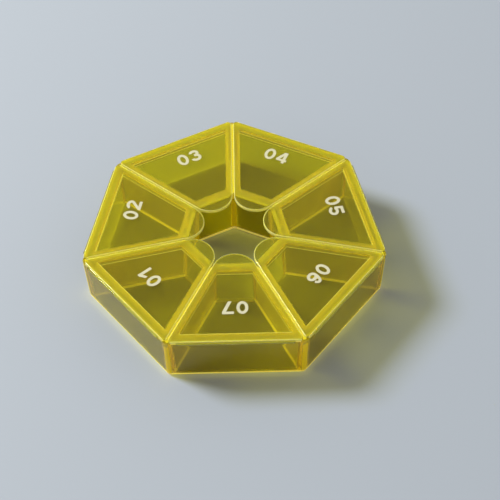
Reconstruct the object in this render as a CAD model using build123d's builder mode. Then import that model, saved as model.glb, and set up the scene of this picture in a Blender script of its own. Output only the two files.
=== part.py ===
# A seven-day pill box: a seven-sided ring tray with one hinged lid over each compartment.
#
# Frame: millimetres, +Z up. The origin is on the axis of the centre hole, at the table.
# One corner of the ring points along +Y and one flat side faces -Y.
# Lid 7 is over the compartment on the -Y side; lids 1 to 6 follow it clockwise, seen from above.
#
# Every compartment is one seventh of the ring. Its sections are drawn on planes turned to the
# compartment's own middle line, with local x running outwards from the hole's axis.

from build123d import *
from math import cos, pi, radians, sin, tan
import os

# The ring
compartments = 7
ring_corner_radius = 50.0     # axis to a sharp corner of the ring, at the rim
hole_apothem = 13.9           # axis to a flat side of the centre hole, at the rim
tray_height = 17.4
draft = 3.0                   # degrees that the outer and the hole walls lean, so both narrow downwards
outer_corner_round = 2.0
hole_corner_round = 1.2
base_edge_round = 1.0
hole_edge_round = 0.5

# Walls
floor_thickness = 1.0
outer_wall = 1.2
hole_wall = 1.2
radial_wall = 1.2             # between two compartments, at the rim
radial_draft = 0.5            # degrees that each face of a radial wall leans
pocket_corner_round = 0.9
pocket_floor_round = 0.7
hinge_land = 1.6              # height of the upright band at the rim that carries the hinge webs

# Lids
lid_thickness = 1.0
lid_gap = 0.5                 # between two neighbouring lids
lid_corner_round = 1.2
lid_edge_round = 0.3
thumb_tab_reach = 10.0        # axis to the tip of the thumb tab
seat_clearance = 0.05         # lid above the rim

# Locating rib under each lid
rib_thickness = 1.0
rib_depth = 1.5
rib_side_clearance = 0.8
rib_outer_clearance = 1.0
rib_hole_clearance = 1.1
rib_corner_round = 1.2
rib_edge_round = 0.2

# Catch on the rib, in the middle of the hole side
catch_width = 3.1
catch_clearance = 0.2
catch_lead_in = 0.5

# Living hinge web, folded round the outer edge of the rim
web_length = 36.5
web_thickness = 0.35
web_fold_radius = 0.55        # outside of the fold

# Values worked out from the sizes above
half_angle = 180.0 / compartments
spread = tan(radians(half_angle))
square = cos(radians(half_angle))
outer_apothem = ring_corner_radius * square
lean = tan(radians(draft))
land_bottom = tray_height - hinge_land
lid_bottom = tray_height + seat_clearance
hinge_offset = pi * (web_fold_radius - web_thickness / 2) / 2    # half of the web's length along its fold


def middle_angle(number):
    """Direction of a compartment's middle line, in degrees from +X."""
    return -90.0 - number * 360.0 / compartments


def flat_plane(number, height):
    """Level plane with its x along the compartment's middle line."""
    return Plane.XY.rotated((0, 0, middle_angle(number))).offset(height)


def upright_plane(number):
    """Upright plane through the axis: x outwards along the middle line, y up."""
    turn = radians(middle_angle(number))
    return Plane(origin=(0, 0, 0), x_dir=(cos(turn), sin(turn), 0), z_dir=(sin(turn), -cos(turn), 0))


def half_width(distance, inset):
    """Half the width of a compartment's wedge at a distance from the axis, each side brought in by inset."""
    return distance * spread - inset / square


def wedge(near, far, inset, corner_round):
    """Wedge-shaped face between two distances from the axis, with rounded corners."""
    with BuildSketch() as shape:
        with BuildLine():
            Polyline(
                (near, -half_width(near, inset)),
                (far, -half_width(far, inset)),
                (far, half_width(far, inset)),
                (near, half_width(near, inset)),
                close=True,
            )
        make_face()
        fillet(shape.vertices(), corner_round)
    return shape.sketch


def ring_outline(apothem, corner_round):
    """Seven-sided face with a corner on +Y."""
    with BuildSketch() as shape:
        RegularPolygon(radius=apothem, side_count=compartments, major_radius=False, rotation=90)
        fillet(shape.vertices(), corner_round)
    return shape.sketch


os.makedirs("parts", exist_ok=True)

# One compartment's hollow, lofted from the floor to just past the rim
pocket_lean_height = tray_height - floor_thickness
pocket_inset_top = radial_wall / 2
pocket_inset_floor = pocket_inset_top + pocket_lean_height * tan(radians(radial_draft))
pocket_near_top = hole_apothem + hole_wall
pocket_far_top = outer_apothem - outer_wall
with BuildPart() as pocket:
    with BuildSketch(Plane.XY.offset(floor_thickness)):
        add(wedge(pocket_near_top + pocket_lean_height * lean,
                  pocket_far_top - pocket_lean_height * lean,
                  pocket_inset_floor, pocket_corner_round))
    with BuildSketch(Plane.XY.offset(tray_height)):
        add(wedge(pocket_near_top, pocket_far_top, pocket_inset_top, pocket_corner_round))
    loft(ruled=True)
    fillet(pocket.edges().group_by(Axis.Z)[0], pocket_floor_round)

# Tray: outer shell with an upright land at the rim, the centre hole and the compartments
with BuildPart() as tray:
    with BuildSketch(Plane.XY):
        add(ring_outline(outer_apothem - land_bottom * lean, outer_corner_round))
    with BuildSketch(Plane.XY.offset(land_bottom)):
        add(ring_outline(outer_apothem, outer_corner_round))
    loft(ruled=True)
    with BuildSketch(Plane.XY.offset(land_bottom)):
        add(ring_outline(outer_apothem, outer_corner_round))
    extrude(amount=hinge_land)
    fillet(tray.edges().group_by(Axis.Z)[0], base_edge_round)
    with BuildSketch(Plane.XY):
        add(ring_outline(hole_apothem + tray_height * lean, hole_corner_round))
    with BuildSketch(Plane.XY.offset(tray_height)):
        add(ring_outline(hole_apothem, hole_corner_round))
    loft(ruled=True, mode=Mode.SUBTRACT)
    fillet(tray.faces().sort_by(Axis.Z)[0].inner_wires().edges(), hole_edge_round)
    with PolarLocations(0, compartments, start_angle=middle_angle(0)):
        add(pocket.part, mode=Mode.SUBTRACT)
tray.part.label = "tray"
export_step(tray.part, "parts/tray.step")

# Thumb tab: an arc that runs on smoothly from both side edges of the lid
side_inset = lid_gap / 2
tab_centre = (thumb_tab_reach - side_inset) / (1 - sin(radians(half_angle)))
tab_radius = tab_centre - thumb_tab_reach
tab_start = tab_centre - tab_radius * sin(radians(half_angle))

# Rib outline, set in from the faces of the compartment by its clearances
rib_near = pocket_near_top + rib_hole_clearance
rib_far = pocket_far_top - rib_outer_clearance
rib_inset = pocket_inset_top + rib_side_clearance
catch_tip = pocket_near_top + catch_clearance

for number in range(1, compartments + 1):
    with BuildPart() as lid:
        # Flat plate with its thumb tab
        with BuildSketch(flat_plane(number, lid_bottom)) as plate:
            with BuildLine():
                Polyline(
                    (tab_start, -half_width(tab_start, side_inset)),
                    (outer_apothem, -half_width(outer_apothem, side_inset)),
                    (outer_apothem, half_width(outer_apothem, side_inset)),
                    (tab_start, half_width(tab_start, side_inset)),
                )
                ThreePointArc(
                    (tab_start, half_width(tab_start, side_inset)),
                    (thumb_tab_reach, 0),
                    (tab_start, -half_width(tab_start, side_inset)),
                )
            make_face()
            fillet(plate.vertices().group_by(SortBy.DISTANCE)[-1], lid_corner_round)
        extrude(amount=lid_thickness)
        fillet(lid.faces().sort_by(Axis.Z)[-1].edges(), lid_edge_round)
        # Locating rib, a closed ring under the plate
        with BuildSketch(flat_plane(number, lid_bottom)):
            add(wedge(rib_near, rib_far, rib_inset, rib_corner_round))
            offset(amount=-rib_thickness, mode=Mode.SUBTRACT)
        extrude(amount=-rib_depth)
        fillet(lid.edges().group_by(Axis.Z)[0], rib_edge_round)
        # Catch, a block on the hole side of the rib with a lead-in below
        with BuildSketch(upright_plane(number)):
            with BuildLine():
                Polyline(
                    (rib_near + rib_thickness / 2, lid_bottom),
                    (catch_tip, lid_bottom),
                    (catch_tip, lid_bottom - rib_depth + catch_lead_in),
                    (catch_tip + catch_lead_in, lid_bottom - rib_depth + rib_edge_round),
                    (rib_near + rib_thickness / 2, lid_bottom - rib_depth + rib_edge_round),
                    close=True,
                )
            make_face()
        extrude(amount=catch_width / 2, both=True)
    lid.part.label = f"lid_{number}"
    export_step(lid.part, f"parts/lid_{number}.step")

    # Hinge web: a thin strip folded double, from the rim's outer face up to the lid's edge
    with BuildPart() as web:
        with BuildSketch(upright_plane(number)):
            with Locations((outer_apothem, tray_height)):
                Circle(web_fold_radius)
                Circle(web_fold_radius - web_thickness, mode=Mode.SUBTRACT)
                Rectangle(2 * web_fold_radius, 2 * web_fold_radius,
                          align=(Align.MAX, Align.CENTER), mode=Mode.SUBTRACT)
        extrude(amount=web_length / 2, both=True)
    web.part.label = f"hinge_web_{number}"
    export_step(web.part, f"parts/hinge_web_{number}.step")

# An opened lid lies a flat web's length away from the rim, so it turns about the middle of that length
print(f"Each lid turns about a level line {outer_apothem + hinge_offset:.3f} mm from the axis, "
      f"{tray_height:.3f} mm up, square to its compartment's middle line")
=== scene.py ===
"""Looks of a seven-sided weekly pill box moulded in clear yellow plastic.

The solids come packed and stay as they are. This script gives them their finish, prints a numeral on
each lid, and puts a strip folded double in place of each rigid hinge web.
"""
import logging
from dataclasses import dataclass, field
from math import cos, pi, radians, sin, sqrt, tan
from typing import Any

import bpy
import numpy as np
from mathutils import Matrix, Vector


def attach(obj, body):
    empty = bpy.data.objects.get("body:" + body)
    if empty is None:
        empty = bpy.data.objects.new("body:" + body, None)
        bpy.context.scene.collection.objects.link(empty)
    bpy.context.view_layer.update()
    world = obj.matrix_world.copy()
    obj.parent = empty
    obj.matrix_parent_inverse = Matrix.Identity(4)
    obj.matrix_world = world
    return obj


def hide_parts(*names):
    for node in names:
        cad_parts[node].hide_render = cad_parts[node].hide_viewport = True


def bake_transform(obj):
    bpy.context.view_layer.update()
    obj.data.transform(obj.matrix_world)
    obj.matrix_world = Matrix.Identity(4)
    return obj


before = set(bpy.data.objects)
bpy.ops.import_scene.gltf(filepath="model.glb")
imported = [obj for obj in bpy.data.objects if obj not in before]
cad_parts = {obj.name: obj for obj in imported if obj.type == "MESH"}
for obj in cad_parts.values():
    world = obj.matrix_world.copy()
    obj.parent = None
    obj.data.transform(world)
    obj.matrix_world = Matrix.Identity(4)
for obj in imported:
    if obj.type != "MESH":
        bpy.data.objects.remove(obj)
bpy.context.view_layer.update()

MM = 0.001
COMPARTMENTS = 7
CORNER_RADIUS = 50.0 * MM
OUTER_APOTHEM = CORNER_RADIUS * cos(pi / COMPARTMENTS)
Colour = tuple[float, float, float]
Span = tuple[float, float]
Loops = list[np.ndarray]
BLACK: Colour = (0.0, 0.0, 0.0)

log = logging.getLogger("pill_box")


def mm(low: float, high: float) -> Span:
    """Two distances given in millimetres, as metres."""
    return low * MM, high * MM


@dataclass(frozen=True)
class Patches:
    """Cloudy noise and the part of its range that is used.

    Attributes:
        scale: lumps per metre.
        detail: octaves.
        span: noise values at which a patch begins and is full.
        pull: how far the lumps are drawn out.
    """

    scale: float
    detail: float
    span: Span = (0.0, 1.0)
    pull: float = 0.0


class Socket:
    """A shader value that can be used in plain sums; each operator adds its Math node."""

    def __init__(self, graph: "Graph", output: Any) -> None:
        """Keep the output and the graph it belongs to."""
        self.graph = graph
        self.output = output

    def __add__(self, other: Any) -> "Socket":
        """Sum."""
        return self.graph.math("ADD", self, other)

    def __radd__(self, other: Any) -> "Socket":
        """Sum with a number on the left."""
        return self.graph.math("ADD", other, self)

    def __sub__(self, other: Any) -> "Socket":
        """Difference."""
        return self.graph.math("SUBTRACT", self, other)

    def __rsub__(self, other: Any) -> "Socket":
        """Difference from a number on the left."""
        return self.graph.math("SUBTRACT", other, self)

    def __mul__(self, other: Any) -> "Socket":
        """Product."""
        return self.graph.math("MULTIPLY", self, other)

    def __rmul__(self, other: Any) -> "Socket":
        """Product with a number on the left."""
        return self.graph.math("MULTIPLY", other, self)

    def __gt__(self, other: Any) -> "Socket":
        """1 where larger, else 0."""
        return self.graph.math("GREATER_THAN", self, other)

    def root(self) -> "Socket":
        """Square root."""
        return self.graph.math("POWER", self, 0.5)


class Graph:
    """A material's node tree."""

    def __init__(self, name: str) -> None:
        """Start an empty material.

        Args:
            name: the material's name.
        """
        self.material = bpy.data.materials.new(name)
        self.material.cycles.emission_sampling = "NONE"
        self.material.use_nodes = True
        self.tree = self.material.node_tree
        self.tree.nodes.clear()

    def node(self, kind: str, settings: dict[str, Any] | None = None,
             inputs: dict[Any, Any] | None = None, out: Any = 0) -> Socket:
        """Add a node.

        Args:
            kind: the node's type.
            settings: its properties, set first.
            inputs: values or Sockets by input name or number.
            out: name or number of the output to return.

        Returns:
            The chosen output.
        """
        made = self.tree.nodes.new(kind)
        for key, value in (settings or {}).items():
            setattr(made, key, value)
        for key, value in (inputs or {}).items():
            if isinstance(value, Socket):
                self.tree.links.new(value.output, made.inputs[key])
            else:
                made.inputs[key].default_value = value
        return Socket(self, made.outputs[out])

    def math(self, operation: str, *values: Any) -> Socket:
        """Add a Math node on some values."""
        return self.node("ShaderNodeMath", {"operation": operation}, dict(enumerate(values)))

    def place(self) -> Socket:
        """Object coordinates."""
        return self.node("ShaderNodeTexCoord", out="Object")

    def noise(self, place: Socket, patches: Patches) -> Socket:
        """Cloudy noise from 0 to 1."""
        return self.node("ShaderNodeTexNoise", None, {"Vector": place, "Scale": patches.scale,
                                                      "Detail": patches.detail, "Distortion": patches.pull})

    def patchy(self, place: Socket, patches: Patches) -> Socket:
        """1 in the patches, 0 elsewhere."""
        return self.rise(self.noise(place, patches), patches.span)

    def ramp(self, value: Socket, low: float, high: float, to_low: float = 0.0,
             to_high: float = 1.0) -> Socket:
        """Map a value's range smoothly to another and clamp it.

        Args:
            value: what is mapped.
            low: value that gives to_low.
            high: value that gives to_high.
            to_low: low end of the result.
            to_high: high end of the result.

        Returns:
            The mapped value.
        """
        return self.node("ShaderNodeMapRange", {"interpolation_type": "SMOOTHSTEP"},
                         {0: value, 1: low, 2: high, 3: to_low, 4: to_high})

    def rise(self, value: Socket, span: Span) -> Socket:
        """0 below a span of a value, 1 above it."""
        return self.ramp(value, *span)

    def fall(self, value: Socket, span: Span) -> Socket:
        """1 below a span of a value, 0 above it."""
        return 1.0 - self.ramp(value, *span)

    def blend(self, share: Any, first: Any, second: Any) -> Socket:
        """Mix two colours.

        Args:
            share: how much of the second.
            first: colour or Socket.
            second: colour or Socket.

        Returns:
            The mixed colour.
        """
        first, second = ((*c, 1.0) if isinstance(c, tuple) else c for c in (first, second))
        return self.node("ShaderNodeMix", {"data_type": "RGBA"}, {0: share, 6: first, 7: second}, out=2)

    def largest(self, first: Any, *others: Any) -> Any:
        """Find the largest of some values.

        Args:
            first: number or Socket.
            others: more of them.

        Returns:
            The largest.
        """
        for other in others:
            first = self.math("MAXIMUM", first, other)
        return first

    def smallest(self, first: Any, *others: Any) -> Any:
        """Find the smallest of some values.

        Args:
            first: number or Socket.
            others: more of them.

        Returns:
            The smallest.
        """
        for other in others:
            first = self.math("MINIMUM", first, other)
        return first

    def between(self, value: Socket, low: float, high: float, soft: float) -> Socket:
        """1 where a value lies between two others, falling to 0 over a soft border outside them."""
        return self.ramp(value, low - soft, low) * (1.0 - self.ramp(value, high, high + soft))

    def ring_place(self, place: Socket) -> tuple[Socket, Socket, Socket]:
        """Find where a point lies in its compartment, whose two halves are folded onto one.

        Args:
            place: coordinates in metres.

        Returns:
            Distance outwards along the middle line, distance from the nearest radial wall's middle,
            and height.
        """
        x, y, up = (self.node("ShaderNodeSeparateXYZ", None, {0: place}, out=axis) for axis in "XYZ")
        sector = 2 * pi / COMPARTMENTS
        reach = (x * x + y * y).root()
        # Sectors are counted from half of one before the front, and kept above 0
        sectors = self.math("ARCTAN2", x, y * -1.0) * (1.0 / sector) + (0.5 + COMPARTMENTS)
        folded = (self.math("FRACT", sectors) - 0.5) * sector
        out = reach * self.math("COSINE", folded)
        side = self.math("ABSOLUTE", reach * self.math("SINE", folded))
        border = out * sin(sector / 2) - side * cos(sector / 2)
        return out, border, up

    def output(self, surface: Socket, volume: Socket | None = None) -> bpy.types.Material:
        """Finish the material.

        Args:
            surface: its surface shader.
            volume: its volume shader.

        Returns:
            The material.
        """
        made = self.tree.nodes.new("ShaderNodeOutputMaterial")
        self.tree.links.new(surface.output, made.inputs["Surface"])
        if volume is not None:
            self.tree.links.new(volume.output, made.inputs["Volume"])
        return self.material


@dataclass(frozen=True)
class ClearPlastic:
    """Clear yellow plastic: its faces bend light, and its inside drinks blue and scatters yellow.

    Attributes:
        name: material name.
        tint: what one face lets through of the light behind it.
        lamp_tint: what one face lets through of a lamp's light.
        haze_colour: colour of the light that a thick place throws back.
        painted_edge_highlight: paler haze colour along an edge, a painted highlight.
        deep: what is left of white light after one length of depth.
        depth: that length, in metres.
        glow: scattering inside, per metre.
        glow_colour: colour of the scattered light.
        seep: how far light travels inside a hazy place.
        seep_colour: the same for each colour, as a share of that.
        gloss: roughness of an unworn face.
        scuff: extra roughness where it is scuffed.
        mirror: strength of its reflections, 0.5 being that of its ior.
        mirror_tint: their colour, seen from straight ahead.
        wave: height of the moulding's long ripples, in metres.
        ior: how strongly it bends light.
        forward: how far the scattered light keeps its direction, from 0 to 1.
        plain: share of a plain face that is hazy.
        clouds: where the tint is darker.
        cloud_tint: the darker tint, as a share of the other.
        scuffs: where it is scuffed.
        waves: the ripples.
    """

    name: str
    tint: Colour = (0.955, 0.965, 0.46)
    lamp_tint: Colour = (0.945, 0.935, 0.50)
    haze_colour: Colour = (1.0, 0.84, 0.07)
    painted_edge_highlight: Colour = (1.0, 0.93, 0.33)
    deep: Colour = (0.985, 0.962, 0.42)
    depth: float = 1.0 * MM
    glow: float = 110.0
    glow_colour: Colour = (1.0, 0.97, 0.36)
    seep: float = 0.8 * MM
    seep_colour: Colour = (1.0, 0.95, 0.2)
    gloss: float = 0.02
    scuff: float = 0.04
    mirror: float = 0.40
    mirror_tint: Colour = (1.0, 1.0, 0.90)
    wave: float = 0.02 * MM
    ior: float = 1.49
    forward: float = 0.3
    plain: float = 0.10
    clouds: Patches = Patches(45.0, 2.0, (0.35, 0.65))
    cloud_tint: float = 0.985
    scuffs: Patches = Patches(210.0, 5.0, (0.52, 0.72), 1.5)
    waves: Patches = Patches(95.0, 1.0)

    def haze(self, g: Graph, place: Socket) -> tuple[Any, Any, Any]:
        """Share of a face that is hazy, the haze's colour, and its painted glow, which is none here."""
        return self.plain, (*self.haze_colour, 1.0), (*BLACK, 1.0)

    def through(self, g: Graph, place: Socket) -> Any:
        """Colour that a face lets through."""
        darker = tuple(c * self.cloud_tint for c in self.tint)
        return g.blend(g.patchy(place, self.clouds), self.tint, darker)

    def material(self) -> bpy.types.Material:
        """Build the material.

        Returns:
            The clear and the hazy plastic mixed, with what fills its inside.
        """
        g = Graph(self.name)
        place = g.place()
        roughness = self.gloss + self.scuff * g.patchy(place, self.scuffs)
        ripples = g.noise(place, self.waves)
        bump = g.node("ShaderNodeBump", None, {"Height": ripples, "Distance": self.wave, "Strength": 1.0})
        skin = {
            "Roughness": roughness,
            "IOR": self.ior,
            "Specular IOR Level": self.mirror,
            "Specular Tint": (*self.mirror_tint, 1.0),
            "Normal": bump,
        }
        clear = g.node("ShaderNodeBsdfPrincipled", None, {
            **skin,
            "Base Color": self.through(g, place),
            "Transmission Weight": 1.0,
        })
        share, colour, light = self.haze(g, place)
        milky = g.node("ShaderNodeBsdfPrincipled", None, {
            **skin,
            "Base Color": colour,
            "Subsurface Weight": 1.0,
            "Subsurface Radius": self.seep_colour,
            "Subsurface Scale": self.seep,
            # Painted glow: the emission that haze() gives for each place
            "Emission Color": light,
            "Emission Strength": 1.0,
        })
        plastic = g.node("ShaderNodeMixShader", None, {0: share, 1: clear, 2: milky})
        to_lamp = g.node("ShaderNodeBsdfTransparent", None, {"Color": (*self.lamp_tint, 1.0)})
        shadow = g.node("ShaderNodeLightPath", out="Is Shadow Ray")
        surface = g.node("ShaderNodeMixShader", None, {0: shadow, 1: plastic, 2: to_lamp})
        return g.output(surface, self.inside(g))

    def inside(self, g: Graph) -> Socket:
        """Fill the inside, which takes each colour of light at its own rate and scatters a little.

        Args:
            g: the material's graph.

        Returns:
            The volume shader.
        """
        taken = -np.log(np.array(self.deep)) / self.depth
        density = float(taken.max())
        colour = tuple(float(c) for c in 1.0 - taken / density)
        absorption = g.node("ShaderNodeVolumeAbsorption", None,
                            {"Color": (*colour, 1.0), "Density": density})
        scatter = g.node("ShaderNodeVolumeScatter", None, {
            "Color": (*self.glow_colour, 1.0), "Density": self.glow, "Anisotropy": self.forward})
        return g.node("ShaderNodeAddShader", None, {0: absorption, 1: scatter})


@dataclass(frozen=True)
class LidPlastic(ClearPlastic):
    """The lids' plastic: clear plate, with haze and painted glow in the rib below it, round it and along
    the edges.

    Attributes:
        painted_glint_colour: colour of the painted highlight at the plate's outer corners.
        painted_line_glow: painted glow along the rib's lower inner edge.
        painted_rib_glow: painted glow on the rest of the rib, as a share of that.
        painted_edge_glow: painted glow on the plate's own edge.
        painted_root_glow: painted glow along the line where the hinge side's rib meets the plate, seen
            through the plate.
        root: haze of that line.
        root_width: its width.
        plate: haze of the flat plate.
        band: haze of the plate outside the rib's inner face.
        rib: haze of the rib and catch.
        lip: haze of the rib's lower inner edge.
        edge: haze of the plate's own edge.
        soft: width over which one haze runs into the next.
        rib_soft: the same where the rib ends at the plate.
        plate_bottom: height of the plate's lower face.
        rib_bottom: height of the rib's lower face.
        lip_width: how far the painted bright line at the lower inner edge reaches under the rib.
        lip_height: how far it reaches up the rib's inner face.
        hole_side: from the axis to the side of the hole.
        side_gap: from a radial wall's middle to the plate's edge.
        tab_reach: from the axis to the tip of the thumb tab.
        edge_width: width of the plate's edge.
        glint: size of the painted highlight at a corner.
        side_rib: from a radial wall's middle to the rib's inner face.
        hinge_rib: from the outer edge to the rib's inner face.
        hole_rib: from the axis to the rib's inner face.
    """

    painted_glint_colour: Colour = (1.0, 0.98, 0.66)
    painted_line_glow: Colour = (0.54, 0.51, 0.25)
    painted_rib_glow: float = 0.16
    painted_edge_glow: Colour = (0.11, 0.09, 0.012)
    painted_root_glow: Colour = (0.40, 0.39, 0.34)
    root: float = 0.75
    root_width: float = 0.17 * MM
    plate: float = 0.02
    band: float = 0.18
    rib: float = 0.70
    lip: float = 0.95
    edge: float = 0.60
    soft: float = 0.10 * MM
    rib_soft: float = 0.15 * MM
    plate_bottom: float = 17.45 * MM
    rib_bottom: float = 15.95 * MM
    lip_width: float = 0.10 * MM
    lip_height: float = 0.38 * MM
    hole_side: float = 13.9 * MM
    side_gap: float = 0.25 * MM
    tab_reach: float = 10.0 * MM
    edge_width: float = 0.24 * MM
    glint: float = 0.60 * MM
    side_rib: float = 2.4 * MM
    hinge_rib: float = 3.2 * MM
    hole_rib: float = 17.2 * MM

    def over(self, start: float) -> Span:
        """One soft width, from a value on."""
        return start, start + self.soft

    def tab_edge(self, out: Socket, border: Socket) -> Socket:
        """Measure how far in from the thumb tab's arc a point lies. The arc runs on from both sides.

        Args:
            out: distance outwards along the middle line.
            border: distance from the nearest radial wall's middle.

        Returns:
            That distance on the tab, and a metre more on the rest of the plate.
        """
        half = pi / COMPARTMENTS
        centre = (self.tab_reach - self.side_gap) / (1.0 - sin(half))
        radius = centre - self.tab_reach
        side = (out * sin(half) - border) * (1.0 / cos(half))
        ahead = out - centre
        return radius - (ahead * ahead + side * side).root() + (out > centre - radius * sin(half))

    def haze(self, g: Graph, place: Socket) -> tuple[Any, Any, Any]:
        """Tell how hazy each place is: most on the rib and round the plate's border, least on its middle.

        Args:
            g: the material's graph.
            place: coordinates in metres.

        Returns:
            Share that is hazy, the haze's colour with painted highlights, and the painted glow there.
        """
        out, border, up = g.ring_place(place)
        below = g.fall(up, (self.plate_bottom - self.rib_soft, self.plate_bottom))
        margin = g.smallest(border - self.side_gap, OUTER_APOTHEM - out, self.tab_edge(out, border))
        edge = g.fall(margin, self.over(self.edge_width))
        from_hinge = (OUTER_APOTHEM - self.hinge_rib) - out
        window = g.smallest(border - self.side_rib, from_hinge, out - self.hole_rib)
        band = g.fall(window, (-self.soft, self.soft)) * g.rise(out, self.over(self.hole_side))
        under = g.rise(window, self.over(-self.lip_width - self.soft))
        lip = under * g.fall(up, self.over(self.rib_bottom + self.lip_height))
        # Painted highlight: a pale spot at each of the plate's outer corners.
        far = g.rise(out, self.over(OUTER_APOTHEM - self.glint))
        corner = far * g.fall(border, self.over(self.side_gap + self.glint - self.soft))
        share = g.largest(self.plate, self.band * band, self.rib * below, self.lip * lip,
                          self.edge * edge, corner)
        # Painted highlight: paler haze along the plate's edge and the rib's lower inner edge.
        colour = g.blend(g.largest(edge, lip), self.haze_colour, self.painted_edge_highlight)
        # Painted glow along the rib's lower inner edge, weaker on the rest of the rib below the plate, and
        # on the plate's edge; none on back faces.
        light = g.blend(g.largest(lip, self.painted_rib_glow * below), BLACK, self.painted_line_glow)
        light = g.blend(edge, light, self.painted_edge_glow)
        inward = g.node("ShaderNodeNewGeometry", out="Backfacing")
        light = g.blend(inward, light, BLACK)
        # Painted glow along the root of the hinge side's rib, on back faces only, seen through the plate.
        beyond = g.between(from_hinge, -self.soft / 2, self.root_width, self.soft)
        level = g.between(up, self.plate_bottom - self.soft, self.plate_bottom + self.soft, self.soft)
        root = inward * beyond * level * g.rise(border, self.over(self.side_rib - self.soft))
        share = g.largest(share, self.root * root)
        light = g.blend(root, light, self.painted_root_glow)
        return share, g.blend(corner, colour, self.painted_glint_colour), light


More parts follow.
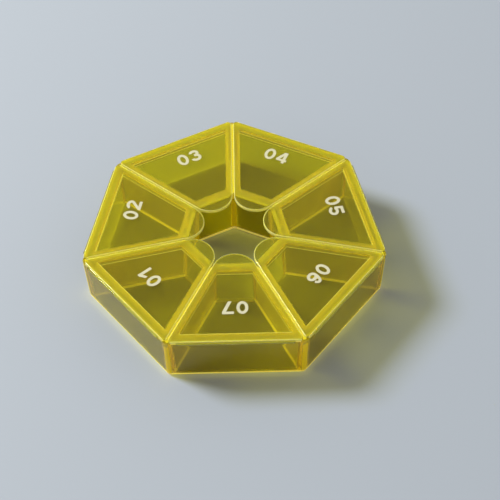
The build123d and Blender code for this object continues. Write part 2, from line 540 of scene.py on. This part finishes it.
@dataclass(frozen=True)
class TrayPlastic(ClearPlastic):
    """The tray's plastic: clear floor and outer walls, with haze and painted glow elsewhere.

    "Out" is measured from the axis, "side" from a radial wall's middle and "height" from the base. The foot
    is the edges that the box stands on. A span is where a haze begins or ends.

    Attributes:
        wall_tint: what a face of an outer wall lets through.
        thick_colour: colour of the corners' haze.
        floor: haze of the floor.
        outer: haze of the outer walls.
        hole: haze of the walls round the hole.
        radial: haze of the walls between compartments.
        radial_end: the same towards their outer ends.
        rim: haze of the rim's upper face.
        post: haze of the upright corners, outside and in the hole.
        seam: haze of the rounds between the floor and the walls.
        base: haze of the foot.
        painted_radial_glow: painted glow on the radial walls.
        painted_post_glow: the same for the corners.
        painted_rim_glow: the same for the rim's upper face.
        painted_seam_glow: the same for the rounds.
        painted_base_glow: the same for the foot.
        rim_height: height of the rim.
        lean: slope of the outer walls, 3 degrees off upright.
        tint_out: where the outer walls' tint begins.
        nook_out: a compartment's rounded outer corners, out, as at the rim.
        nook_soft: width over which their haze ends.
        nook_side: how far they reach from the radial wall's middle.
        nook_share: their haze, as a share of a radial wall's.
        radial_side: a radial wall's face.
        radial_out: where a radial wall's haze grows towards its end.
        hole_out: outer end of the walls round the hole.
        outer_out: inner end of the outer walls.
        post_out: inner end of the outside corners, out, as at the rim.
        hole_post_out: outer end of the hole's corners.
        post_side: how far a corner reaches from its middle.
        crown_height: where a corner ends below the rim.
        tip_side: how far the clearer tip above it reaches from its middle.
        tip_clear: share of the haze that the tip lacks.
        rim_from: where the rim's upper face begins.
        round_height: the rounds' lower and upper end.
        round_soft: width over which their haze ends.
        round_side: the rounds beside the radial walls.
        hole_round_out: the rounds beside the hole.
        hole_round: haze of these, as a share of the others'.
        foot_height: the foot's lower and upper end.
        foot_soft: width over which its haze ends.
        outer_foot_out: inner end of its outer edge.
        hole_foot_out: outer end of its edge round the hole.
    """

    tint: Colour = (0.86, 0.865, 0.28)
    wall_tint: Colour = (0.72, 0.68, 0.09)
    thick_colour: Colour = (0.70, 0.50, 0.008)
    lamp_tint: Colour = (0.80, 0.78, 0.34)
    mirror: float = 0.22
    mirror_tint: Colour = (1.0, 0.95, 0.50)
    floor: float = 0.04
    outer: float = 0.04
    hole: float = 0.12
    radial: float = 0.40
    radial_end: float = 0.75
    rim: float = 0.88
    post: float = 0.94
    seam: float = 0.90
    base: float = 0.90
    painted_radial_glow: Colour = (0.07, 0.055, 0.002)
    painted_post_glow: Colour = (0.15, 0.107, 0.001)
    painted_rim_glow: Colour = (0.08, 0.066, 0.006)
    painted_seam_glow: Colour = (0.27, 0.22, 0.03)
    painted_base_glow: Colour = (0.32, 0.26, 0.07)
    rim_height: float = 17.4 * MM
    lean: float = 0.0524
    tint_out: Span = mm(42.4, 43.0)
    nook_out: Span = mm(42.8, 44.0)
    nook_soft: float = 0.05 * MM
    nook_side: Span = mm(1.40, 1.65)
    nook_share: float = 0.4
    radial_side: Span = mm(0.75, 0.95)
    radial_out: Span = mm(31.0, 38.0)
    hole_out: Span = mm(15.9, 16.4)
    outer_out: Span = mm(42.6, 43.1)
    post_out: Span = mm(44.2, 44.4)
    hole_post_out: Span = mm(15.0, 15.3)
    post_side: Span = mm(0.70, 1.15)
    crown_height: Span = mm(15.4, 16.4)
    tip_side: Span = mm(1.0, 1.6)
    tip_clear: float = 0.7
    rim_from: Span = mm(17.1, 17.35)
    round_height: Span = mm(1.03, 1.45)
    round_soft: float = 0.12 * MM
    round_side: Span = mm(1.35, 1.50)
    hole_round_out: Span = mm(16.7, 16.85)
    hole_round: float = 0.35
    foot_height: Span = mm(0.15, 1.35)
    foot_soft: float = 0.20 * MM
    outer_foot_out: Span = mm(43.2, 43.5)
    hole_foot_out: Span = mm(15.3, 15.5)

    def haze(self, g: Graph, place: Socket) -> tuple[Any, Any, Any]:
        """Tell how hazy each place is, with one share for each kind of wall, told apart by where it stands.

        Args:
            g: the material's graph.
            place: coordinates in metres.

        Returns:
            Share that is hazy, the haze's colour, and the painted glow there.
        """
        out, border, up = g.ring_place(place)
        flare = out + (self.rim_height - up) * self.lean
        nook = g.between(flare, *self.nook_out, self.nook_soft) * g.fall(border, self.nook_side)
        beside = g.fall(border, self.radial_side)
        growth = g.ramp(out, *self.radial_out, self.radial, self.radial_end)
        radial = g.largest(beside, self.nook_share * nook) * growth
        hole = self.hole * g.fall(out, self.hole_out)
        outer = self.outer * g.rise(out, self.outer_out)
        ends = g.largest(g.rise(flare, self.post_out), g.fall(out, self.hole_post_out))
        crown = g.rise(up, self.crown_height)
        corner = ends * g.fall(border, self.post_side) * (1.0 - crown)
        tip = ends * g.fall(border, self.tip_side) * crown
        top = g.rise(up, self.rim_from) * (1.0 - tip)
        low = g.between(up, *self.round_height, self.round_soft)
        by_hole = self.hole_round * g.fall(out, self.hole_round_out)
        seam = low * g.largest(g.fall(border, self.round_side), by_hole)
        foot = g.between(up, *self.foot_height, self.foot_soft)
        outward = 1.0 - g.node("ShaderNodeNewGeometry", out="Backfacing")
        edges = g.largest(g.rise(out, self.outer_foot_out), g.fall(out, self.hole_foot_out))
        base = outward * foot * edges
        share = g.largest(self.floor, radial, hole, outer, self.rim * top, self.post * corner,
                          self.seam * seam, self.base * base)
        colour = g.blend(corner, self.haze_colour, self.thick_colour)
        # Painted glow: emission on the radial walls, the rounds, the corners, the rim's upper face and the
        # foot, none on the clearer tips.
        light = BLACK
        for mask, shine in ((beside, self.painted_radial_glow), (seam, self.painted_seam_glow), (corner, self.painted_post_glow),
                            (top, self.painted_rim_glow), (base, self.painted_base_glow), (tip, BLACK)):
            light = g.blend(mask, light, shine)
        return share * (1.0 - self.tip_clear * tip), colour, light

    def through(self, g: Graph, place: Socket) -> Any:
        """Deeper yellow on the outer walls than elsewhere."""
        out, _, _ = g.ring_place(place)
        return g.blend(g.rise(out, self.tint_out), self.tint, self.wall_tint)


@dataclass(frozen=True)
class PrintInk:
    """Cream-white pad-printed ink, a little uneven.

    Attributes:
        name: material name.
        colour: of the full ink.
        thin: colour of thin ink, as a share of that.
        gloss: roughness of the full ink.
        dull: extra roughness of thin ink.
        ior: how strongly it mirrors, as a refractive index.
        patches: where the ink is thin.
    """

    name: str = "print_ink"
    colour: Colour = (0.84, 0.80, 0.52)
    thin: float = 0.93
    gloss: float = 0.38
    dull: float = 0.2
    ior: float = 1.45
    patches: Patches = Patches(900.0, 3.0, (0.35, 0.7))

    def material(self) -> bpy.types.Material:
        """Build the material.

        Returns:
            The ink.
        """
        g = Graph(self.name)
        patch = g.patchy(g.place(), self.patches)
        colour = g.blend(patch, self.colour, tuple(c * self.thin for c in self.colour))
        surface = g.node("ShaderNodeBsdfPrincipled", None, {
            "Base Color": colour,
            "Roughness": self.gloss + self.dull * patch,
            "IOR": self.ior,
        })
        return g.output(surface)


@dataclass(frozen=True)
class PaleFloor:
    """Plain matt floor, pale and a little cool.

    Attributes:
        name: material name.
        colour: of the floor.
        roughness: how matt it is.
        mirror: strength of its reflections, 0.5 being the usual one.
    """

    name: str = "pale_floor"
    colour: Colour = (0.54, 0.59, 0.64)
    roughness: float = 0.6
    mirror: float = 0.12

    def material(self) -> bpy.types.Material:
        """Build the material.

        Returns:
            The floor's finish.
        """
        g = Graph(self.name)
        surface = g.node("ShaderNodeBsdfPrincipled", None, {
            "Base Color": (*self.colour, 1.0),
            "Roughness": self.roughness,
            "Specular IOR Level": self.mirror,
        })
        return g.output(surface)


def add_mesh(name: str, points: np.ndarray, faces: np.ndarray, material: bpy.types.Material,
             smooth: bool = True) -> bpy.types.Object:
    """Make an object at the origin from points and faces.

    Args:
        name: object name.
        points: N by 3, in metres.
        faces: M by 4 point numbers.
        material: its finish.
        smooth: whether the faces are shaded smooth.

    Returns:
        The object.
    """
    mesh = bpy.data.meshes.new(name)
    mesh.from_pydata(points.tolist(), [], faces.tolist())
    mesh.materials.append(material)
    mesh.polygons.foreach_set("use_smooth", np.full(len(mesh.polygons), smooth))
    mesh.update()
    made = bpy.data.objects.new(name, mesh)
    bpy.context.scene.collection.objects.link(made)
    return made


def loop_grid(rows: int, columns: int) -> np.ndarray:
    """Faces of a tube without its ends: rows of points, each row a closed loop.

    Args:
        rows: loops along the tube.
        columns: points in each loop.

    Returns:
        Quads between the loops, as point numbers row by row.
    """
    r, c = np.meshgrid(np.arange(rows - 1), np.arange(columns), indexing="ij")
    n = (c + 1) % columns
    return np.stack([r * columns + c, r * columns + n, (r + 1) * columns + n, (r + 1) * columns + c],
                    axis=-1).reshape(-1, 4)


@dataclass
class RingLayout:
    """Where the compartments lie. Lid 7 is over the front one and the others follow clockwise.

    Attributes:
        compartments: how many.
        rim: height of the tray's rim.
        lid_top: height of a lid's upper face.
        outer_apothem: axis to the rim's outer faces.
    """

    compartments: int = COMPARTMENTS
    rim: float = 17.4 * MM
    lid_top: float = 18.45 * MM
    outer_apothem: float = OUTER_APOTHEM

    def turn(self, number: int) -> float:
        """Direction of a compartment's middle line, in radians from +X."""
        return -pi / 2 - number * 2 * pi / self.compartments

    def basis(self, number: int) -> np.ndarray:
        """Rows: clockwise along the side, outwards along the middle line, up."""
        m = self.turn(number)
        return np.array([[sin(m), -cos(m), 0.0], [cos(m), sin(m), 0.0], [0.0, 0.0, 1.0]])

    def local_to_frame(self, number: int, points: np.ndarray) -> np.ndarray:
        """Turn points given as (along the side, outwards, up) into the frame."""
        return points @ self.basis(number)


@dataclass
class HingeWeb:
    """Thin strip folded double along the outer edge of a lid.

    Attributes:
        layout: where the compartments lie.
        finish: its material.
        length: along the side.
        fold_radius: outside of the fold.
        thickness: of the strip.
        steps_along: rows along the side.
        steps_round: points round one face of the fold.
    """

    layout: RingLayout
    finish: bpy.types.Material
    length: float = 36.5 * MM
    fold_radius: float = 0.55 * MM
    thickness: float = 0.35 * MM
    steps_along: int = 74
    steps_round: int = 13

    def section(self) -> np.ndarray:
        """Draw the strip's outline: the outer half circle and back along the inner one.

        Returns:
            Its points as (out, up), a closed loop.
        """
        angle = np.linspace(-pi / 2, pi / 2, self.steps_round)
        arc = np.stack([np.cos(angle), np.sin(angle)], axis=1)
        return np.concatenate([arc * self.fold_radius, arc[::-1] * (self.fold_radius - self.thickness)])

    def build(self, number: int) -> bpy.types.Object:
        """Make one strip: its outline carried along the side and closed at both ends.

        Args:
            number: the lid it carries.

        Returns:
            The strip, between the tray and the lid.
        """
        outline = self.section()
        along = np.linspace(-0.5, 0.5, self.steps_along) * self.length
        rows = np.zeros((len(along), len(outline), 3))
        rows[..., 0] = along[:, None]
        rows[..., 1] = self.layout.outer_apothem + outline[None, :, 0]
        rows[..., 2] = self.layout.rim + outline[None, :, 1]
        points = self.layout.local_to_frame(number, rows.reshape(-1, 3))
        width = len(outline)
        pair = np.arange(self.steps_round - 1)
        cap = np.stack([width - 1 - pair, width - 2 - pair, pair + 1, pair], axis=1)
        last = cap + (len(along) - 1) * width
        faces = np.vstack([loop_grid(len(along), width), cap, last])
        made = add_mesh(f"hinge_fold_{number}", points, faces, self.finish)
        middle = np.array([[0.0, self.layout.outer_apothem, self.layout.rim]])
        mid = self.layout.local_to_frame(number, middle)[0]
        gap = self.fold_radius - self.thickness
        mid - (0, 0, gap)
        mid + (0, 0, gap)
        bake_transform(made)
        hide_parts(f"hinge_web_{number}")
        log.info("hinge strip %d", number)
        return made


@dataclass
class Figures:
    """Plain bold figures from 0 to 7, each given as its outside and then its holes.

    A figure stands on y = 0 with x = 0 in its middle. Curves are parts of ellipses. A bowl is the ring
    between an ellipse and the one that lies a stroke's width inside it. Numbers in an outline are shares
    of the height h, the stroke s or half the width a, and the ends of arcs are given in half turns.

    Attributes:
        height: of a figure.
        width: of a figure.
        stroke: width of its strokes.
        steps: points in half a turn of a curve.
    """

    height: float = 5.0 * MM
    width: float = 3.7 * MM
    stroke: float = 1.0 * MM
    steps: int = 24

    def arc(self, middle: float, radii: tuple[float, float], start: float, stop: float) -> np.ndarray:
        """Points on an ellipse centred at (0, middle), between two angles given in half turns."""
        t = np.linspace(start, stop, max(3, round(self.steps * abs(stop - start)) + 1)) * pi
        return np.stack([radii[0] * np.cos(t), middle + radii[1] * np.sin(t)], axis=1)

    def inside(self, radii: tuple[float, float]) -> tuple[float, float]:
        """Radii of the ellipse that lies a stroke's width inside another."""
        return radii[0] - self.stroke, radii[1] - self.stroke

    def loops(self, figure: int) -> Loops:
        """Outline of one figure, its outside first."""
        draw = (self.zero, self.one, self.two, self.three, self.four, self.five, self.six, self.seven)
        return draw[figure]()

    def zero(self) -> Loops:
        """An upright ring."""
        radii = (self.width / 2, self.height / 2)
        return [self.arc(self.height / 2, each, 0, 2)[:-1] for each in (radii, self.inside(radii))]

    def one(self) -> Loops:
        """Draw a stem with a flag.

        Returns:
            Its outline.
        """
        h, s = self.height, self.stroke
        stem = 0.15 * s
        flag = stem - 1.6 * s
        return [np.array([(stem, 0), (stem + s, 0), (stem + s, h), (stem + 0.2 * s, h), (flag, h - 1.1 * s),
                          (flag, h - 2.1 * s), (stem, h - 1.35 * s)])]

    def two(self) -> Loops:
        """Draw a bowl that runs into a slanted stroke and a foot.

        Returns:
            Its outline.
        """
        h, s, a = self.height, self.stroke, self.width / 2
        radii = (a, 0.30 * h)
        middle = h - radii[1]
        outer = self.arc(middle, radii, 0.95, -0.20)
        inner = self.arc(middle, self.inside(radii), -0.16, 0.95)
        return [np.vstack([outer, [(-a + 1.45 * s, s), (a, s), (a, 0), (-a, 0), (-a, 0.85 * s)], inner])]

    def three(self) -> Loops:
        """Draw two bowls that share their middle stroke.

        Returns:
            Its outline.
        """
        h, s, a = self.height, self.stroke, self.width / 2
        waist = 0.53 * h
        upper = (0.92 * a, (h - waist + s / 2) / 2)
        lower = (a, (waist + s / 2) / 2)
        top, bottom = h - upper[1], lower[1]
        outer_top = self.arc(top, upper, 0.93, -0.5)
        outer_low = self.arc(bottom, lower, 0.5, -0.93)
        inner_low = self.arc(bottom, self.inside(lower), -0.93, 0.5)
        inner_top = self.arc(top, self.inside(upper), -0.5, 0.93)
        nub = -0.25 * s
        # Each outer curve is kept on its own side of the height where the two cross
        outer_top = outer_top[outer_top[:, 1] > waist]
        outer_low = outer_low[outer_low[:, 1] < waist]
        middle = [(nub, inner_low[-1, 1]), (nub, inner_top[0, 1])]
        return [np.vstack([outer_top, outer_low, inner_low, middle, inner_top])]

    def four(self) -> Loops:
        """Draw a stem, a bar and a slanted stroke round a three-cornered hole.

        Returns:
            Its outside and its hole.
        """
        h, s, a = self.height, self.stroke, self.width / 2
        stem = 0.15 * a
        low, high = 0.17 * h, 0.17 * h + 0.9 * s
        top = stem - 0.25 * s
        outside = [(stem, 0), (stem + s, 0), (stem + s, low), (a, low), (a, high), (stem + s, high),
                   (stem + s, h), (top, h), (-a, high), (-a, low), (stem, low)]
        slope = (h - high) / (top + a)
        inset = s * sqrt(1 + slope ** 2) / slope
        hole = [(-a + inset, high), (stem, high), (stem, high + slope * (stem + a - inset))]
        return [np.array(outside), np.array(hole)]

    def five(self) -> Loops:
        """Draw a bar, a short stem and a bowl.

        Returns:
            Its outline.
        """
        h, s, a = self.height, self.stroke, self.width / 2
        radii = (a, 0.325 * h)
        outer = self.arc(radii[1], radii, 0.62, -0.93)
        inner = self.arc(radii[1], self.inside(radii), -0.93, 0.80)
        corner = (-0.80 * a, h)
        return [np.vstack([[corner, (0.86 * a, h), (0.86 * a, h - s), (-0.80 * a + 0.85 * s, h - s)],
                           outer, inner, [(-0.95 * a, 0.46 * h)]])]

    def six(self) -> Loops:
        """Draw a closed bowl whose left side runs up into a curved tail.

        Returns:
            Its outside and its hole.
        """
        h, a = self.height, self.width / 2
        radii = (a, 0.32 * h)
        tail = (a, h - radii[1])
        left = self.arc(radii[1], tail, 1.0, 0.20)
        right = self.arc(radii[1], self.inside(tail), 0.20, 1.0)
        above = (right[:, 0] / radii[0]) ** 2 + (right[:, 1] / radii[1] - 1) ** 2 > 1
        right = right[above]
        meet = np.arctan2((right[-1, 1] - radii[1]) / radii[1], right[-1, 0] / radii[0]) / pi
        bowl = self.arc(radii[1], radii, meet, -1.0)[:-1]
        return [np.vstack([left, right, bowl]), self.arc(radii[1], self.inside(radii), 0, 2)[:-1]]

    def seven(self) -> Loops:
        """Draw a bar and a slanted stroke, cut level at its foot.

        Returns:
            Its outline.
        """
        h, s, a = self.height, self.stroke, self.width / 2
        foot = -0.62 * a
        return [np.array([(-a, h), (a, h), (a, h - 0.9 * s), (foot + 1.12 * s, 0), (foot, 0),
                          (a - 1.25 * s, h - s), (-a, h - s)])]


@dataclass
class Numeral:
    """Plain printed number on a lid, its top towards the outer edge.

    Attributes:
        layout: where the compartments lie.
        finish: the ink.
        figures: shapes of the figures.
        reach: from the axis to the middle of the figures.
        register: how far the print lies off the lids' own middle, in the frame.
        film: thickness of the ink.
        gap: between the two figures.
    """

    layout: RingLayout
    finish: bpy.types.Material
    figures: Figures = field(default_factory=Figures)
    reach: float = 34.0 * MM
    register: tuple[float, float] = (0.0, 1.9 * MM)
    film: float = 0.02 * MM
    gap: float = 0.8 * MM

    def flat(self, loops: Loops) -> bpy.types.Mesh:
        """Fill some closed outlines, leaving their holes open.

        Args:
            loops: the outlines.

        Returns:
            The flat faces.
        """
        curve = bpy.data.curves.new("outline", "CURVE")
        curve.dimensions = "2D"
        curve.fill_mode = "BOTH"
        for loop in loops:
            spline = curve.splines.new("POLY")
            spline.points.add(len(loop) - 1)
            points = np.zeros((len(loop), 4))
            points[:, :2] = loop
            points[:, 3] = 1.0
            spline.points.foreach_set("co", points.ravel())
            spline.use_cyclic_u = True
        source = bpy.data.objects.new("outline", curve)
        bpy.context.scene.collection.objects.link(source)
        bpy.context.view_layer.update()
        mesh = bpy.data.meshes.new_from_object(source.evaluated_get(bpy.context.evaluated_depsgraph_get()))
        bpy.data.objects.remove(source)
        return mesh

    def build(self, number: int) -> bpy.types.Object:
        """Print one number.

        Args:
            number: the lid it is on.

        Returns:
            The print, riding on its lid.
        """
        loops, start = [], 0.0
        for digit in divmod(number, 10):
            drawn = self.figures.loops(digit)
            left, right = drawn[0][:, 0].min(), drawn[0][:, 0].max()
            loops += [loop + (start - left, -self.figures.height / 2) for loop in drawn]
            start += right - left + self.gap
        mesh = self.flat(loops)
        flat = np.zeros(len(mesh.vertices) * 3)
        mesh.vertices.foreach_get("co", flat)
        flat = flat.reshape(-1, 3)
        local = np.stack([flat[:, 0] - (start - self.gap) / 2, flat[:, 1] + self.reach,
                          np.full(len(flat), self.layout.lid_top + self.film)], axis=1)
        placed = self.layout.local_to_frame(number, local) + (*self.register, 0.0)
        mesh.vertices.foreach_set("co", placed.ravel())
        mesh.materials.clear()
        mesh.materials.append(self.finish)
        mesh.name = f"numeral_{number}"
        mesh.update()
        made = bpy.data.objects.new(f"numeral_{number}", mesh)
        bpy.context.scene.collection.objects.link(made)
        skin = made.modifiers.new("film", "SOLIDIFY")
        skin.thickness = self.film
        skin.offset = -1.0
        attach(made, f"lid_{number}")
        log.info("numeral %d", number)
        return made


@dataclass
class PillBox:
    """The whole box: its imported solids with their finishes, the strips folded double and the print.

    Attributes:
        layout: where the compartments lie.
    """

    layout: RingLayout = field(default_factory=RingLayout)

    def dress(self, node: str, material: bpy.types.Material) -> None:
        """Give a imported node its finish."""
        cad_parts[node].material_slots[0].material = material
        log.info("dressed %s", node)

    def build(self) -> None:
        """Dress every node and make every added piece."""
        tray_plastic = TrayPlastic("tray_plastic").material()
        lid_plastic = LidPlastic("lid_plastic").material()
        hinge_plastic = ClearPlastic("hinge_plastic").material()
        ink = PrintInk().material()
        self.dress("tray", tray_plastic)
        web = HingeWeb(self.layout, hinge_plastic)
        numeral = Numeral(self.layout, ink)
        for number in range(1, self.layout.compartments + 1):
            self.dress(f"lid_{number}", lid_plastic)
            web.build(number)
            numeral.build(number)


@dataclass
class Studio:
    """Camera, key light, floor and sky.

    The camera's place comes from the ring's corners in the photograph.

    Attributes:
        focal_pixels: focal length in pixels of the square picture.
        picture_side: that picture's side, in pixels.
        sensor: camera sensor width, in millimetres.
        distance: camera to its target.
        elevation: above the floor, in degrees.
        azimuth: round the box from the front, in degrees.
        roll: of the camera, in degrees.
        target: point of the floor that the camera faces.
        clip: nearest and farthest that the camera sees.
        lamp_from: direction of the key light.
        lamp_distance: how far it stands from the box.
        lamp_power: its strength on a face square to it, in watts per square metre.
        lamp_width: its width seen from the box, in degrees.
        lamp_colour: colour of its light.
        horizon: strength of the sky's light near the horizon.
        zenith: the same overhead.
        sky_span: sines of the angles up between which it changes.
        sky_colour: its colour.
        floor_gap: how far the floor lies under the base.
        floor_side: side of the floor.
        bounces: of light, in all and through plastic.
        clear_bounces: through faces that light passes straight.
        inside_bounces: inside the plastic.
    """

    focal_pixels: float = 1560.18
    picture_side: float = 500.0
    sensor: float = 36.0
    distance: float = 524.116 * MM
    elevation: float = 49.859
    azimuth: float = -0.2106
    roll: float = -1.146
    target: tuple[float, float] = (5.1146 * MM, 6.7546 * MM)
    clip: Span = (0.01, 20.0)
    lamp_from: tuple[float, float, float] = (-0.75, 0.30, 0.70)
    lamp_distance: float = 1.5
    lamp_power: float = 3.1
    lamp_width: float = 18.0
    lamp_colour: Colour = (1.0, 0.985, 0.96)
    horizon: float = 0.62
    zenith: float = 0.24
    sky_span: Span = (0.10, 0.75)
    sky_colour: Colour = (0.92, 0.95, 1.0)
    floor_gap: float = 0.15 * MM
    floor_side: float = 6.0
    bounces: int = 24
    clear_bounces: int = 48
    inside_bounces: int = 4

    def camera(self) -> None:
        """Make the camera: its axes are right, up and back, turned by the roll."""
        e, a, r = radians(self.elevation), radians(self.azimuth), radians(self.roll)
        back = Vector((sin(a) * cos(e), -cos(a) * cos(e), sin(e)))
        level = Vector((cos(a), sin(a), 0.0))
        upright = back.cross(level)
        right = cos(r) * level + sin(r) * upright
        up = cos(r) * upright - sin(r) * level
        lens = bpy.data.cameras.new("camera")
        lens.sensor_width = self.sensor
        lens.lens = self.focal_pixels / self.picture_side * self.sensor
        lens.clip_start, lens.clip_end = self.clip
        made = bpy.data.objects.new("camera", lens)
        bpy.context.scene.collection.objects.link(made)
        place = Matrix((right, up, back)).transposed().to_4x4()
        place.translation = Vector((*self.target, 0.0)) + back * self.distance
        made.matrix_world = place
        bpy.context.scene.camera = made

    def lamp(self) -> None:
        """Make the key light, a soft disc on the left and a little behind."""
        light = bpy.data.lights.new("key", "AREA")
        light.shape = "DISK"
        light.size = 2 * self.lamp_distance * tan(radians(self.lamp_width / 2))
        light.energy = self.lamp_power * pi * self.lamp_distance ** 2
        light.color = self.lamp_colour
        made = bpy.data.objects.new("key", light)
        bpy.context.scene.collection.objects.link(made)
        toward = Vector(self.lamp_from).normalized()
        made.location = toward * self.lamp_distance
        made.rotation_mode = "QUATERNION"
        made.rotation_quaternion = toward.to_track_quat("Z", "Y")
        made.visible_camera = False

    def floor(self) -> None:
        """Make the floor, just under the base."""
        half = self.floor_side / 2
        points = np.array([[-half, -half, 0], [half, -half, 0], [half, half, 0], [-half, half, 0]], float)
        points[:, 2] = -self.floor_gap
        made = add_mesh("floor", points, np.array([[0, 1, 2, 3]]), PaleFloor().material(), smooth=False)

    def world(self) -> None:
        """Make the sky: pale light from all round, strongest near the horizon."""
        world = bpy.data.worlds.new("world")
        bpy.context.scene.world = world
        world.use_nodes = True
        tree = world.node_tree
        place = tree.nodes.new("ShaderNodeTexCoord")
        split = tree.nodes.new("ShaderNodeSeparateXYZ")
        ramp = tree.nodes.new("ShaderNodeMapRange")
        tree.links.new(place.outputs["Generated"], split.inputs[0])
        tree.links.new(split.outputs["Z"], ramp.inputs[0])
        for key, value in enumerate((*self.sky_span, self.horizon, self.zenith), start=1):
            ramp.inputs[key].default_value = value
        shade = tree.nodes["Background"]
        shade.inputs["Color"].default_value = (*self.sky_colour, 1.0)
        tree.links.new(ramp.outputs[0], shade.inputs["Strength"])

    def build(self) -> None:
        """Set up everything round the box."""
        self.camera()
        self.lamp()
        self.floor()
        self.world()
        scene = bpy.context.scene
        scene.view_settings.view_transform = "Standard"
        scene.cycles.max_bounces = self.bounces
        scene.cycles.transmission_bounces = self.bounces
        scene.cycles.transparent_max_bounces = self.clear_bounces
        scene.cycles.volume_bounces = self.inside_bounces
        scene.cycles.caustics_refractive = False
        scene.cycles.caustics_reflective = False


def main() -> None:
    """Build the box and the studio."""
    logging.basicConfig(level=logging.INFO, format="%(name)s: %(message)s")
    PillBox().build()
    Studio().build()


if __name__ == "__main__":
    main()
